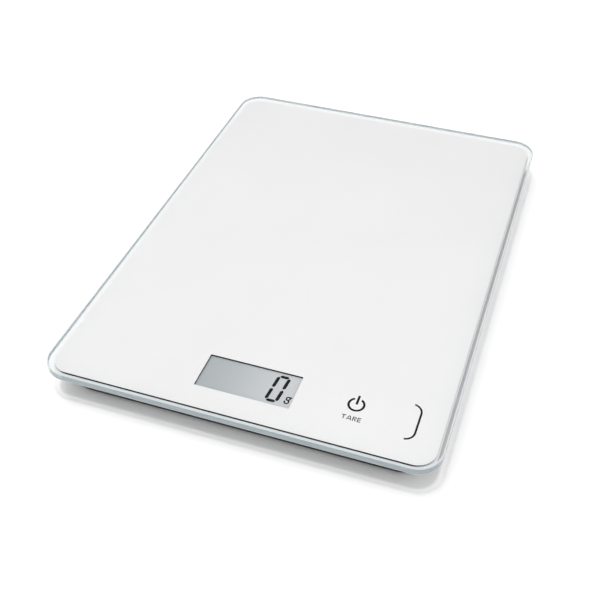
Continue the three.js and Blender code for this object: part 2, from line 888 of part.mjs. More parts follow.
// The lead from a strain gauge to the nearest end of the board, along the floor of the cover.
function makeCellLead({ name, x, y, side, end }) {
  const isBack = end > 0;
  const underCell = cellBottom - fitGap - leadDiameter / 2;
  const onFloor = coverFloorTop + fitGap + leadDiameter / 2;
  const atSolder = boardBottom - fitGap - leadDiameter / 2;
  const lane = side * (bayWidth / 2 + bayWall + laneFromBay);
  const boardX = boardOffsetX + side * (boardWidth / 2 - (isBack ? backLeadFromEnd : frontLeadFromEnd));
  const boardBack = boardY + boardLength / 2;
  const seatEdge = cellSize / 2 + bossWall;
  const places = [
    [x, y - end * (cellPad / 2 + gaugeLength + 2 * fitGap), underCell],
    [x, y - end * (seatEdge + fitGap), underCell],
    [x, y - end * (seatEdge + leadFromSeat), onFloor],
  ];
  if (isBack) places.push([lane, footY / 2, onFloor], [lane, -footY * 0.4, onFloor]);
  places.push(
    [boardX, boardBack + leadClimb, onFloor],
    [boardX, boardBack - past, atSolder],
    [boardX, boardBack - solderedLength, atSolder],
  );
  add(`load_cell_lead_${name}`, wire(places, leadDiameter, isBack ? 30 : 16), greyPvc);
}

function makeBatteryLead(name, battery, end, finish) {
  const isBack = end > 0;
  const boardBack = boardY + boardLength / 2;
  const onFloor = coverFloorTop + fitGap + wireDiameter / 2;
  const atSolder = boardBottom - fitGap - wireDiameter / 2;
  const start = tabEndY(end) + end * fitGap;
  const aside = bayWidth / 2 + bayWall + wireBend;
  const places = [
    [battery.x, start, batteryAxisZ],
    [battery.x, start + end * wireBend, batteryAxisZ],
    [battery.x, start + end * 5, onFloor],
  ];
  if (isBack) places.push([aside, start + 5, onFloor], [aside, bayFront, onFloor]);
  places.push(
    [battery.x, boardBack + 10, onFloor],
    [battery.x, boardBack - past, atSolder],
    [battery.x, boardBack - solderedLength, atSolder],
  );
  add(`battery_lead_${name}`, wire(places, wireDiameter, isBack ? 28 : 18), finish);
}

// Screws

function makeScrew(name, x, y, headBottom, tipZ) {
  const headRadius = screwHeadDiameter / 2;
  const radius = screwDiameter / 2;
  const headTop = headBottom + screwHeadHeight;
  const profile = [
    [0, headBottom],
    [screwCrown / 2, headBottom],
    [headRadius, headTop - screwRim],
    [headRadius, headTop],
    [radius, headTop],
    [radius, tipZ - radius],
    [0, tipZ],
  ];
  const arms = [
    [screwSlotLength, screwSlotWidth],
    [screwSlotWidth, screwSlotLength],
  ].map(([width, length]) => block(width, length, headBottom - past, headBottom + screwSlotDepth, x, y));
  add(name, cut(turned(profile, x, y, bossSides), join(...arms)), screwSteel);
}

makePlatter();
makeTape();
makeUpperHousing();
makeBottomCover();
makeDisplay();
makeBoard();
makeBoardParts();
makeTouchKey();
makeUnitSwitch();
makeUnitButton();
makeBatteries();
makeContacts();
makeBatteryDoor();
for (const corner of corners) {
  makeLoadCell(corner);
  makeFoot(corner);
  makeCellLead(corner);
}
makeBatteryLead("black", batteries[0], -1, blackPvc);
makeBatteryLead("red", batteries[batteryCount - 1], 1, redPvc);
coverScrews.forEach(([x, y], i) => {
  const headBottom = groundGap + screwPocket - screwHeadHeight - touchGap;
  makeScrew(`cover_screw_${i + 1}`, x, y, headBottom, plateBottom - past);
});
boardScrews.forEach(([x, y], i) => {
  const headBottom = boardBottom - screwHeadHeight - touchGap;
  makeScrew(`board_screw_${i + 1}`, x, y, headBottom, plateBottom + wall / 3);
});

export default scale;
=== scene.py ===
import math

import bmesh
import bpy
from mathutils import Euler, Matrix, Vector


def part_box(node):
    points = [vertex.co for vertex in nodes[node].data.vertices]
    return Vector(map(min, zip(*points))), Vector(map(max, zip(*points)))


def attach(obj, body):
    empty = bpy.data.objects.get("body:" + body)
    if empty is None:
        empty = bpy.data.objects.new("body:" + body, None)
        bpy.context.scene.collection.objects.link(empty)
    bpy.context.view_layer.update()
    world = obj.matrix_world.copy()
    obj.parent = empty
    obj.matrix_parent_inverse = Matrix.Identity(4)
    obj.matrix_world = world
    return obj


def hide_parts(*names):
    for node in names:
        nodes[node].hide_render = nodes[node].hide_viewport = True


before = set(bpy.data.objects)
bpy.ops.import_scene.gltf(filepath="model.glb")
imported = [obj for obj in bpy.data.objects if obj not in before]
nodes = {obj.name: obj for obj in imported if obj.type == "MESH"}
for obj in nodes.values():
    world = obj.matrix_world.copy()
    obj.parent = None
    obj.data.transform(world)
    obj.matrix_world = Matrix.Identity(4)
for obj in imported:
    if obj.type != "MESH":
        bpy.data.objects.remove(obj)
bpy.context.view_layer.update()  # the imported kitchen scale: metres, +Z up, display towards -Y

mm = 0.001
print("frame loaded:", len(nodes), "nodes")


# helpers for materials

def toLinear(hexColour):
    # "#rrggbb" in sRGB to Blender's linear colour
    channels = [int(hexColour[i:i + 2], 16) / 255 for i in (1, 3, 5)]
    linear = [c / 12.92 if c <= 0.04045 else ((c + 0.055) / 1.055) ** 2.4 for c in channels]
    return (*linear, 1.0)


def perMm(sizeMm):
    # texture scale that makes one feature of a pattern about this many mm across
    return 1 / (sizeMm * mm)


def connect(node, links):
    for socket, source in links.items():
        node.id_data.links.new(source, node.inputs[socket])


def addNode(tree, kind, settings=None, links=None):
    # settings are the node's own properties or its sockets, and a "#rrggbb" value is a colour
    node = tree.nodes.new(kind)
    for key, value in (settings or {}).items():
        if isinstance(value, str) and value.startswith("#"):
            value = toLinear(value)
        if isinstance(key, str) and hasattr(node, key):
            setattr(node, key, value)
        else:
            node.inputs[key].default_value = value
    connect(node, links or {})
    return node


def startMaterial(name, settings):
    # a Principled shader with its constants, its tree and the object's own coordinates in metres
    material = bpy.data.materials.new(name)
    material.use_nodes = True
    tree = material.node_tree
    tree.nodes.clear()
    shader = addNode(tree, "ShaderNodeBsdfPrincipled", settings)
    addNode(tree, "ShaderNodeOutputMaterial", links={"Surface": shader.outputs[0]})
    coords = addNode(tree, "ShaderNodeTexCoord").outputs["Object"]
    return material, tree, shader, coords


# materials: a Mix node's colours are its sockets 6 and 7, and its colour output is number 2

noiseSpan = {"From Min": 0.3, "From Max": 0.7}  # where nearly all of a noise texture's values lie


def moldedAbs(name, darkHex, lightHex, roughness):
    # injection-moulded ABS from a spark-eroded tool: even satin grain, glossier where it flowed last
    material, tree, shader, coords = startMaterial(name, {"IOR": 1.53})
    grain = addNode(tree, "ShaderNodeTexVoronoi", {"Scale": perMm(0.35), "feature": "SMOOTH_F1"},
                    {"Vector": coords})
    flow = addNode(tree, "ShaderNodeTexNoise", {"Scale": perMm(22), "Detail": 3}, {"Vector": coords})
    tint = addNode(tree, "ShaderNodeMix", {"data_type": "RGBA", 6: darkHex, 7: lightHex},
                   {0: flow.outputs["Fac"]})
    satin = addNode(tree, "ShaderNodeMapRange", {
        **noiseSpan, "To Min": roughness - 0.05, "To Max": roughness + 0.06},
        {"Value": flow.outputs["Fac"]})
    bump = addNode(tree, "ShaderNodeBump", {"Distance": 0.02 * mm},
                   {"Height": grain.outputs["Distance"]})
    connect(shader, {
        "Base Color": tint.outputs[2],
        "Roughness": satin.outputs["Result"],
        "Normal": bump.outputs["Normal"],
    })
    return material


def letLightThrough(tree, shader, clearHex):
    # lamps and bounced light pass the glass straight and tinted, so that what lies under it is lit
    clear = addNode(tree, "ShaderNodeBsdfTransparent", {"Color": clearHex})
    path = addNode(tree, "ShaderNodeLightPath")
    seen = shader.outputs[0]
    for kindOfRay in ("Is Diffuse Ray", "Is Shadow Ray"):
        mix = addNode(tree, "ShaderNodeMixShader", links={
            0: path.outputs[kindOfRay], 1: seen, 2: clear.outputs[0]})
        seen = mix.outputs[0]
    connect(tree.nodes["Material Output"], {"Surface": seen})


def floatGlass(name, tintHex):
    # clear float glass, fire-bright faces with the faintest ripple
    material, tree, shader, coords = startMaterial(
        name, {"Base Color": tintHex, "Roughness": 0.0, "IOR": 1.52, "Transmission Weight": 1.0})
    ripple = addNode(tree, "ShaderNodeTexNoise", {"Scale": perMm(60), "Detail": 1}, {"Vector": coords})
    bump = addNode(tree, "ShaderNodeBump", {"Distance": 0.01 * mm}, {"Height": ripple.outputs["Fac"]})
    connect(shader, {"Normal": bump.outputs["Normal"]})
    letLightThrough(tree, shader, "#f9f9f9")
    return material


def groundGlass(name, darkHex, lightHex):
    # the same glass where its edge was ground and polished: blue-grey, with faint streaks along the edge
    material, tree, shader, coords = startMaterial(
        name, {"Roughness": 0.08, "IOR": 1.52, "Transmission Weight": 0.5})
    squash = addNode(tree, "ShaderNodeMapping", {"Scale": (1, 1, 12)}, {"Vector": coords})
    streaks = addNode(tree, "ShaderNodeTexNoise", {"Scale": perMm(14), "Detail": 3},
                      {"Vector": squash.outputs[0]})
    tint = addNode(tree, "ShaderNodeMix", {"data_type": "RGBA", 6: darkHex, 7: lightHex},
                   {0: streaks.outputs["Fac"]})
    bump = addNode(tree, "ShaderNodeBump", {"Distance": 0.03 * mm}, {"Height": streaks.outputs["Fac"]})
    connect(shader, {"Base Color": tint.outputs[2], "Normal": bump.outputs["Normal"]})
    letLightThrough(tree, shader, "#c4d0d4")
    return material


def frostedGlass(name, darkHex, lightHex):
    # the narrow arris left by the grinding wheel: frosted, so it draws a pale line round the platter
    material, tree, shader, coords = startMaterial(
        name, {"Roughness": 0.4, "IOR": 1.52, "Transmission Weight": 0.2})
    grit = addNode(tree, "ShaderNodeTexNoise", {"Scale": perMm(0.2), "Detail": 4}, {"Vector": coords})
    tint = addNode(tree, "ShaderNodeMix", {"data_type": "RGBA", 6: darkHex, 7: lightHex},
                   {0: grit.outputs["Fac"]})
    bump = addNode(tree, "ShaderNodeBump", {"Distance": 0.01 * mm}, {"Height": grit.outputs["Fac"]})
    connect(shader, {"Base Color": tint.outputs[2], "Normal": bump.outputs["Normal"]})
    return material


def screenInk(name, darkHex, lightHex):
    # screen-printed ceramic ink, wetted by the glass above it: flat, without gloss, mottled by the mesh
    material, tree, shader, coords = startMaterial(name, {"Roughness": 0.8, "Specular IOR Level": 0.0})
    mesh = addNode(tree, "ShaderNodeTexVoronoi", {"Scale": perMm(0.12)}, {"Vector": coords})
    mottle = addNode(tree, "ShaderNodeTexNoise", {"Scale": perMm(45), "Detail": 2}, {"Vector": coords})
    tint = addNode(tree, "ShaderNodeMix", {"data_type": "RGBA", 6: darkHex, 7: lightHex},
                   {0: mottle.outputs["Fac"]})
    bump = addNode(tree, "ShaderNodeBump", {"Distance": 0.002 * mm},
                   {"Height": mesh.outputs["Distance"]})
    connect(shader, {"Base Color": tint.outputs[2], "Normal": bump.outputs["Normal"]})
    return material


def closedFoam(name):
    # die-cut closed-cell foam tape: dull black, with cut cells along its edge
    material, tree, shader, coords = startMaterial(name, {"IOR": 1.4, "Specular IOR Level": 0.2})
    cells = addNode(tree, "ShaderNodeTexVoronoi", {"Scale": perMm(0.25)}, {"Vector": coords})
    depth = cells.outputs["Distance"]
    tint = addNode(tree, "ShaderNodeMix", {"data_type": "RGBA", 6: "#0b0c0d", 7: "#1c1d1f"}, {0: depth})
    dull = addNode(tree, "ShaderNodeMapRange", {**noiseSpan, "To Min": 0.8, "To Max": 0.95},
                   {"Value": depth})
    bump = addNode(tree, "ShaderNodeBump", {"Distance": 0.06 * mm}, {"Height": depth})
    connect(shader, {
        "Base Color": tint.outputs[2],
        "Roughness": dull.outputs["Result"],
        "Normal": bump.outputs["Normal"],
    })
    return material


def reflectiveFilm(name, darkHex, lightHex):
    # a reflective display's polariser over its foil: grey, with a painted sheen that turns paler from the
    # panel's left side to its right
    material, tree, shader, coords = startMaterial(
        name, {"Metallic": 0.1, "IOR": 1.5, "Coat Weight": 0.1, "Coat Roughness": 0.3})
    foil = addNode(tree, "ShaderNodeTexNoise", {"Scale": perMm(0.12), "Detail": 2}, {"Vector": coords})
    place = addNode(tree, "ShaderNodeSeparateXYZ", links={"Vector": coords})
    panelLeft, panelRight = (corner.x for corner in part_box("lcd_panel"))
    # painted sheen: the grey lightens from the panel's left edge to its right edge, a painted reflection
    # in the film's colour
    paintedSheen = addNode(tree, "ShaderNodeMapRange", {
        "From Min": panelLeft, "From Max": panelRight, "interpolation_type": "SMOOTHSTEP"},
        {"Value": place.outputs["X"]})
    tint = addNode(tree, "ShaderNodeMix", {"data_type": "RGBA", 6: darkHex, 7: lightHex},
                   {0: paintedSheen.outputs["Result"]})
    satin = addNode(tree, "ShaderNodeMapRange", {**noiseSpan, "To Min": 0.36, "To Max": 0.48},
                    {"Value": foil.outputs["Fac"]})
    connect(shader, {"Base Color": tint.outputs[2], "Roughness": satin.outputs["Result"]})
    return material


def segmentInk(name):
    # liquid crystal that is switched on: near black, slightly violet, behind the polariser's own gloss
    material, tree, shader, coords = startMaterial(name, {"Specular IOR Level": 0.1})
    haze = addNode(tree, "ShaderNodeTexNoise", {"Scale": perMm(0.3), "Detail": 2}, {"Vector": coords})
    tint = addNode(tree, "ShaderNodeMix", {"data_type": "RGBA", 6: "#0b0b0f", 7: "#15151b"},
                   {0: haze.outputs["Fac"]})
    satin = addNode(tree, "ShaderNodeMapRange", {**noiseSpan, "To Min": 0.35, "To Max": 0.5},
                    {"Value": haze.outputs["Fac"]})
    connect(shader, {"Base Color": tint.outputs[2], "Roughness": satin.outputs["Result"]})
    return material


def moldedRubber(name):
    # compression-moulded black rubber: dull, dusty in the low spots
    material, tree, shader, coords = startMaterial(name, {"IOR": 1.52, "Specular IOR Level": 0.35})
    dust = addNode(tree, "ShaderNodeTexNoise", {"Scale": perMm(3), "Detail": 5}, {"Vector": coords})
    pores = addNode(tree, "ShaderNodeTexNoise", {"Scale": perMm(0.25), "Detail": 3}, {"Vector": coords})
    tint = addNode(tree, "ShaderNodeMix", {"data_type": "RGBA", 6: "#131314", 7: "#26272a"},
                   {0: dust.outputs["Fac"]})
    dull = addNode(tree, "ShaderNodeMapRange", {**noiseSpan, "To Min": 0.75, "To Max": 0.92},
                   {"Value": dust.outputs["Fac"]})
    bump = addNode(tree, "ShaderNodeBump", {"Distance": 0.02 * mm}, {"Height": pores.outputs["Fac"]})
    connect(shader, {
        "Base Color": tint.outputs[2],
        "Roughness": dull.outputs["Result"],
        "Normal": bump.outputs["Normal"],
    })
    return material


def rolledMetal(name, darkHex, lightHex, roughness, scratchMm=0.15):
    # cold-rolled strip or drawn wire: bright metal with fine lines along the way it was rolled
    material, tree, shader, coords = startMaterial(name, {"Metallic": 1.0})
    stretch = addNode(tree, "ShaderNodeMapping", {"Scale": (1, 0.04, 1)}, {"Vector": coords})
    lines = addNode(tree, "ShaderNodeTexNoise", {"Scale": perMm(scratchMm), "Detail": 3},
                    {"Vector": stretch.outputs[0]})
    depth = lines.outputs["Fac"]
    tint = addNode(tree, "ShaderNodeMix", {"data_type": "RGBA", 6: darkHex, 7: lightHex}, {0: depth})
    satin = addNode(tree, "ShaderNodeMapRange", {
        **noiseSpan, "To Min": roughness - 0.07, "To Max": roughness + 0.08}, {"Value": depth})
    bump = addNode(tree, "ShaderNodeBump", {"Distance": 0.003 * mm}, {"Height": depth})
    connect(shader, {
        "Base Color": tint.outputs[2],
        "Roughness": satin.outputs["Result"],
        "Normal": bump.outputs["Normal"],
    })
    return material


def solderMask(name):
    # green solder mask over etched copper: tracks show as paler, raised lines
    material, tree, shader, coords = startMaterial(
        name, {"IOR": 1.5, "Coat Weight": 0.4, "Coat Roughness": 0.15})
    tracks = addNode(tree, "ShaderNodeTexBrick", {
        "Scale": 1.0, "Brick Width": 7.5 * mm, "Row Height": 1.3 * mm, "Mortar Size": 0.22 * mm,
        "Color1": "#17472c", "Color2": "#1b5133", "Mortar": "#2f7a4d"}, {"Vector": coords})
    satin = addNode(tree, "ShaderNodeMapRange", {**noiseSpan, "To Min": 0.35, "To Max": 0.5},
                    {"Value": tracks.outputs["Fac"]})
    bump = addNode(tree, "ShaderNodeBump", {"Distance": 0.03 * mm}, {"Height": tracks.outputs["Fac"]})
    connect(shader, {
        "Base Color": tracks.outputs["Color"],
        "Roughness": satin.outputs["Result"],
        "Normal": bump.outputs["Normal"],
    })
    return material


def castEpoxy(name):
    # a drop of potting epoxy that flowed and set: black, glossy, gently uneven
    material, tree, shader, coords = startMaterial(name, {"IOR": 1.55, "Roughness": 0.28})
    waves = addNode(tree, "ShaderNodeTexNoise", {"Scale": perMm(2.5), "Detail": 2}, {"Vector": coords})
    tint = addNode(tree, "ShaderNodeMix", {"data_type": "RGBA", 6: "#0b0b0c", 7: "#17181a"},
                   {0: waves.outputs["Fac"]})
    bump = addNode(tree, "ShaderNodeBump", {"Distance": 0.08 * mm}, {"Height": waves.outputs["Fac"]})
    connect(shader, {"Base Color": tint.outputs[2], "Normal": bump.outputs["Normal"]})
    return material


def zebraRubber(name):
    # layered elastomer: carbon layers between clear ones, half a millimetre apart across the strip
    material, tree, shader, coords = startMaterial(name, {"IOR": 1.43, "Roughness": 0.6})
    bandsPerScale = math.pi  # a wave texture draws about this many bands in one unit of its scale
    layers = addNode(tree, "ShaderNodeTexWave", {
        "Scale": perMm(0.5) / bandsPerScale, "bands_direction": "X"}, {"Vector": coords})
    tint = addNode(tree, "ShaderNodeMix", {"data_type": "RGBA", 6: "#1a1c1f", 7: "#86a0b8"},
                   {0: layers.outputs["Fac"]})
    connect(shader, {"Base Color": tint.outputs[2]})
    return material


sleeveLength = 44.5 * mm  # a whole cell, from its minus end to its plus end


def shrinkSleeve(name, middleY, plusAtBack=True, jacketHex="#23272c"):
    # printed shrink sleeve of a cell: dark, a copper-coloured band near its plus end, bare steel ends
    material, tree, shader, coords = startMaterial(
        name, {"IOR": 1.5, "Coat Weight": 0.5, "Coat Roughness": 0.1})
    reach = sleeveLength / 2 if plusAtBack else -sleeveLength / 2
    along = addNode(tree, "ShaderNodeSeparateXYZ", links={"Vector": coords})
    length = addNode(tree, "ShaderNodeMapRange", {
        "From Min": middleY - reach, "From Max": middleY + reach}, {"Value": along.outputs["Y"]})
    bands = addNode(tree, "ShaderNodeValToRGB", links={"Fac": length.outputs["Result"]})
    bands.color_ramp.interpolation = "CONSTANT"
    steelHex, bandHex = "#b9bbbd", "#b8763a"
    stops = [(0.0, steelHex), (0.02, jacketHex), (0.72, bandHex), (0.965, steelHex)]
    for place, colour in stops[2:]:  # a new ramp has its first two stops already
        bands.color_ramp.elements.new(place)
    for element, (place, colour) in zip(bands.color_ramp.elements, stops):
        element.position = place
        element.color = toLinear(colour)
    scuff = addNode(tree, "ShaderNodeTexNoise", {"Scale": perMm(5), "Detail": 4}, {"Vector": coords})
    satin = addNode(tree, "ShaderNodeMapRange", {**noiseSpan, "To Min": 0.28, "To Max": 0.42},
                    {"Value": scuff.outputs["Fac"]})
    connect(shader, {"Base Color": bands.outputs["Color"], "Roughness": satin.outputs["Result"]})
    return material


def softPlastic(name, darkHex, lightHex, roughness):
    # extruded PVC insulation or cast silicone: smooth and slightly waxy
    material, tree, shader, coords = startMaterial(
        name, {"IOR": 1.5, "Subsurface Weight": 0.05, "Subsurface Scale": mm})
    skin = addNode(tree, "ShaderNodeTexNoise", {"Scale": perMm(1.5), "Detail": 3}, {"Vector": coords})
    tint = addNode(tree, "ShaderNodeMix", {"data_type": "RGBA", 6: darkHex, 7: lightHex},
                   {0: skin.outputs["Fac"]})
    satin = addNode(tree, "ShaderNodeMapRange", {
        **noiseSpan, "To Min": roughness - 0.06, "To Max": roughness + 0.08},
        {"Value": skin.outputs["Fac"]})
    connect(shader, {"Base Color": tint.outputs[2], "Roughness": satin.outputs["Result"]})
    return material


batteryMiddleY = sum(corner.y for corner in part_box("battery_middle")) / 2
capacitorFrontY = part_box("buffer_capacitor")[0].y  # the can is so short that it is all jacket
finishes = {
    "clearGlass": floatGlass("floatGlassClear", "#fcfcfc"),
    "edgeGlass": groundGlass("floatGlassPolishedEdge", "#b8ced8", "#e6eef0"),
    "arrisGlass": frostedGlass("floatGlassFrostedArris", "#c6d0d4", "#dde4e6"),
    "whiteInk": screenInk("ceramicInkScreenPrintedWhite", "#ebebeb", "#f0f0f0"),
    "darkInk": screenInk("ceramicInkScreenPrintedBlack", "#060607", "#0b0b0c"),
    "foam": closedFoam("foamTapeDieCutBlack"),
    # the polariser's colour carries a painted sheen, paler towards the panel's right side
    "polariser": reflectiveFilm("polariserFilmReflective", "#b3babd", "#d3d6d8"),
    "segments": segmentInk("liquidCrystalSwitchedOn"),
    "whiteAbs": moldedAbs("absMoldedWhite", "#e9eaeb", "#f4f5f5", 0.38),
    "charcoalAbs": moldedAbs("absMoldedCharcoal", "#151618", "#1f2123", 0.55),
    "greyAbs": moldedAbs("absMoldedGrey", "#85888b", "#93969a", 0.45),
    "rubber": moldedRubber("rubberMoldedBlack"),
    "springSteel": rolledMetal("springSteelRolled", "#8d9094", "#b4b7bb", 0.3),
    "nickel": rolledMetal("steelStripNickelPlated", "#a9a69c", "#d2cfc6", 0.25),
    "screwSteel": rolledMetal("steelScrewZincPlated", "#7d8085", "#a9acb1", 0.33, scratchMm=0.08),
    "copper": rolledMetal("copperFoilRolled", "#a9633c", "#cf8a5b", 0.32),
    "foil": rolledMetal("aluminiumFoilBrushed", "#b6babd", "#d9dcde", 0.34),
    # the display cell's glass edge carries the same painted sheen, paler towards the panel's right side
    "lcdGlass": reflectiveFilm("displayCellGlassEdge", "#8f9698", "#a3a9ab"),
    "board": solderMask("fr4SolderMaskGreen"),
    "epoxy": castEpoxy("epoxyCastBlack"),
    "zebra": zebraRubber("elastomerLayeredCarbon"),
    "canSleeve": shrinkSleeve("capacitorSleevePvc", capacitorFrontY, jacketHex="#1d2a3a"),
    "cellPlusBack": shrinkSleeve("cellSleevePrintedPlusBack", batteryMiddleY),
    "cellPlusFront": shrinkSleeve("cellSleevePrintedPlusFront", batteryMiddleY, plusAtBack=False),
    "silicone": softPlastic("siliconeCastWhite", "#dcdcd6", "#ecece6", 0.5),
    "greyPvc": softPlastic("pvcExtrudedGrey", "#7b7e82", "#8d9094", 0.45),
    "redPvc": softPlastic("pvcExtrudedRed", "#9a1f1b", "#b52b25", 0.42),
    "blackPvc": softPlastic("pvcExtrudedBlack", "#101011", "#1b1b1d", 0.45),
}
print("materials:", len(finishes))


# the CAD nodes, each with its finish by how its name starts, the longer names first

cadFinishes = {
    "glass_platter": "clearGlass", "platter_tape": "foam", "lcd_gasket": "foam", "lcd_panel": "lcdGlass",
    "lcd_reflector": "foil", "zebra_strip": "zebra", "main_board": "board", "controller_blob": "epoxy",
    "buffer_capacitor": "canSleeve", "touch_pad": "copper", "touch_spring": "springSteel",
    "unit_switch_plunger": "silicone", "unit_switch": "epoxy", "unit_button": "greyAbs",
    "battery_left": "cellPlusBack", "battery_middle": "cellPlusFront", "battery_right": "cellPlusBack",
    "battery_lead_red": "redPvc", "battery_lead_black": "blackPvc", "contact": "nickel",
    "upper_housing": "whiteAbs", "bottom_cover": "charcoalAbs", "battery_door": "charcoalAbs",
    "load_cell_lead": "greyPvc", "load_cell": "springSteel", "strain_gauge": "silicone",
    "foot_carrier": "charcoalAbs", "foot_pad": "rubber", "cover_screw": "screwSteel",
    "board_screw": "screwSteel",
}
for nodeName, nodeObject in nodes.items():
    finishName = next(finish for start, finish in cadFinishes.items() if nodeName.startswith(start))
    nodeObject.data.materials.clear()
    nodeObject.data.materials.append(finishes[finishName])
print("CAD nodes finished")


# helpers for new pieces

def midOf(node):
    low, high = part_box(node)
    return (low + high) / 2


def flatPlace(width, length, x, y, z, turnDeg=0.0):
    # sizes, turns and places a flat square whose sides are 1
    place = Matrix.Translation((x, y, z)) @ Matrix.Rotation(math.radians(turnDeg), 4, "Z")
    return place @ Matrix.Diagonal((width, length, 1, 1))


def roundedFace(bm, width, length, radius, x, y, z, steps):
    # a flat rectangle whose four corners are rounded
    made = bmesh.ops.create_grid(bm, x_segments=1, y_segments=1, size=0.5,
                                 matrix=flatPlace(width, length, x, y, z))
    bmesh.ops.bevel(bm, geom=made["verts"], offset=radius, offset_type="OFFSET", segments=steps,
                    profile=0.5, affect="VERTICES", clamp_overlap=True, material=-1)


def thicken(bm, height):
    # every flat face of the mesh becomes a plate of this height, upwards
    made = bmesh.ops.extrude_face_region(bm, geom=list(bm.faces), use_keep_orig=True)
    top = [item for item in made["geom"] if isinstance(item, bmesh.types.BMVert)]
    bmesh.ops.translate(bm, verts=top, vec=(0, 0, height))
    bmesh.ops.recalc_face_normals(bm, faces=bm.faces)


def strokeBar(bm, start, end, width, z):
    # a straight stroke between two points
    run = Vector(end) - Vector(start)
    middle = (Vector(end) + Vector(start)) / 2
    turnDeg = math.degrees(math.atan2(run.y, run.x))
    made = bmesh.ops.create_grid(bm, x_segments=1, y_segments=1, size=0.5,
                                 matrix=flatPlace(run.length, width, middle.x, middle.y, z, turnDeg))
    return made["verts"]


def strokeArc(bm, centre, radius, width, fromDeg, toDeg, z, steps=24):
    # a curved stroke: a short radial edge spun round the centre
    outwards = Vector((math.cos(math.radians(fromDeg)), math.sin(math.radians(fromDeg)), 0))
    pivot = Vector((centre[0], centre[1], z))
    ends = [bm.verts.new(pivot + outwards * (radius + side * width / 2)) for side in (-1, 1)]
    edge = bm.edges.new(ends)
    bmesh.ops.spin(bm, geom=[*ends, edge], cent=pivot, axis=(0, 0, 1),
                   angle=math.radians(toDeg - fromDeg), steps=steps, use_merge=False,
                   use_duplicate=False)


def finishPiece(name, bm, finish, body, replaced=(), smoothDeg=35):
    mesh = bpy.data.meshes.new(name)
    bmesh.ops.recalc_face_normals(bm, faces=bm.faces)
    bm.to_mesh(mesh)
    bm.free()
    piece = bpy.data.objects.new(name, mesh)
    bpy.context.scene.collection.objects.link(piece)
    for material in finish if isinstance(finish, list) else [finish]:
        mesh.materials.append(finishes[material])
    mesh.shade_smooth()
    mesh.set_sharp_from_angle(angle=math.radians(smoothDeg))
    if replaced:
        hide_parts(*replaced)
    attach(piece, body)


# glass platter

platterLow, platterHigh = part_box("glass_platter")
platter = {
    "corner": 12 * mm, "cornerSteps": 28,
    "arris": 0.6 * mm,  # ground edge, top and bottom
    "arrisSteps": 2,
    "sideMargin": 3.0 * mm,  # bare glass beside the print
    "endMargin": 3.6 * mm,  # bare glass in front of and behind the print
    "smoothDeg": 15,  # less than the turn where an arris meets a face, which keeps the big faces flat
}


def makePlatter():
    bm = bmesh.new()
    size = platterHigh - platterLow
    roundedFace(bm, size.x, size.y, platter["corner"], 0, 0, platterLow.z, platter["cornerSteps"])
    thicken(bm, size.z)
    rims = [edge for edge in bm.edges if edge.calc_face_angle(0) > math.radians(80)]
    bmesh.ops.bevel(bm, geom=rims, offset=platter["arris"], offset_type="OFFSET",
                    segments=platter["arrisSteps"], profile=0.5, affect="EDGES", clamp_overlap=True,
                    material=-1)
    for face in bm.faces:
        face.normal_update()
        levelness = abs(face.normal.z)
        face.material_index = 0 if levelness > 0.99 else 1 if levelness < 0.01 else 2  # flat, side, arris
    finishPiece("glassPlatter", bm, ["clearGlass", "edgeGlass", "arrisGlass"], "scale_body",
                ["glass_platter"], smoothDeg=platter["smoothDeg"])


# print on the underside of the glass: white field with the display's window, and the dark signs

windowLow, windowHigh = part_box("lcd_gasket")
printing = {
    "whiteBelow": 0.02 * mm, "whiteThickness": 0.02 * mm,
    "signBelow": 0.006 * mm, "signThickness": 0.006 * mm,
    "gasketBorder": 2.75 * mm, "windowCorner": 0.4 * mm, "windowSteps": 3,
}


def makeWhiteField():
    size = platterHigh - platterLow - 2 * Vector((platter["sideMargin"], platter["endMargin"], 0))
    corner = platter["corner"] - platter["sideMargin"]
    middle = (windowLow + windowHigh) / 2
    width = windowHigh.x - windowLow.x - 2 * printing["gasketBorder"]
    length = windowHigh.y - windowLow.y - 2 * printing["gasketBorder"]
    z = platterLow.z - printing["whiteBelow"] - printing["whiteThickness"]
    bm = bmesh.new()
    roundedFace(bm, size.x, size.y, corner, 0, 0, z, platter["cornerSteps"])
    roundedFace(bm, width, length, printing["windowCorner"], middle.x, middle.y, z,
                printing["windowSteps"])
    bmesh.ops.delete(bm, geom=list(bm.faces), context="FACES_ONLY")
    bmesh.ops.triangle_fill(bm, edges=list(bm.edges), use_beauty=True)
    thicken(bm, printing["whiteThickness"])
    finishPiece("whitePrintField", bm, "whiteInk", "scale_body")


keySign = {
    "ringRadius": 3.45 * mm, "ringSteps": 56, "stroke": 1.05 * mm,
    "gapDeg": 54, "barFrom": 0.1 * mm, "barTo": 5.3 * mm,
    "wordBelow": 9.25 * mm,  # foot of the word below the middle of the ring
    "wordHeight": 2.45 * mm, "wordStroke": 0.4 * mm, "letterGap": 0.4 * mm,
    "letterWidths": (2.1 * mm, 2.2 * mm, 1.75 * mm, 1.6 * mm),
    "crossbarUp": 0.3, "crossbarReach": 0.2,  # the A's bar, as shares of the letter's height and width
    "bowlShare": 0.27, "bowlSteps": 12, "legShare": 0.55,  # the R's bowl and where its leg starts
    "armShare": 0.9,  # the E's middle arm beside its other two
}


def makePowerRing(bm, centre, z):
    halfGap = keySign["gapDeg"] / 2
    strokeArc(bm, centre, keySign["ringRadius"], keySign["stroke"], 90 + halfGap, 450 - halfGap, z,
              keySign["ringSteps"])
    strokeBar(bm, (centre.x, centre.y + keySign["barFrom"]), (centre.x, centre.y + keySign["barTo"]),
              keySign["stroke"], z)


def drawT(bm, left, foot, width, z):
    top, stroke = foot + keySign["wordHeight"], keySign["wordStroke"]
    strokeBar(bm, (left, top - stroke / 2), (left + width, top - stroke / 2), stroke, z)
    strokeBar(bm, (left + width / 2, foot), (left + width / 2, top - stroke), stroke, z)


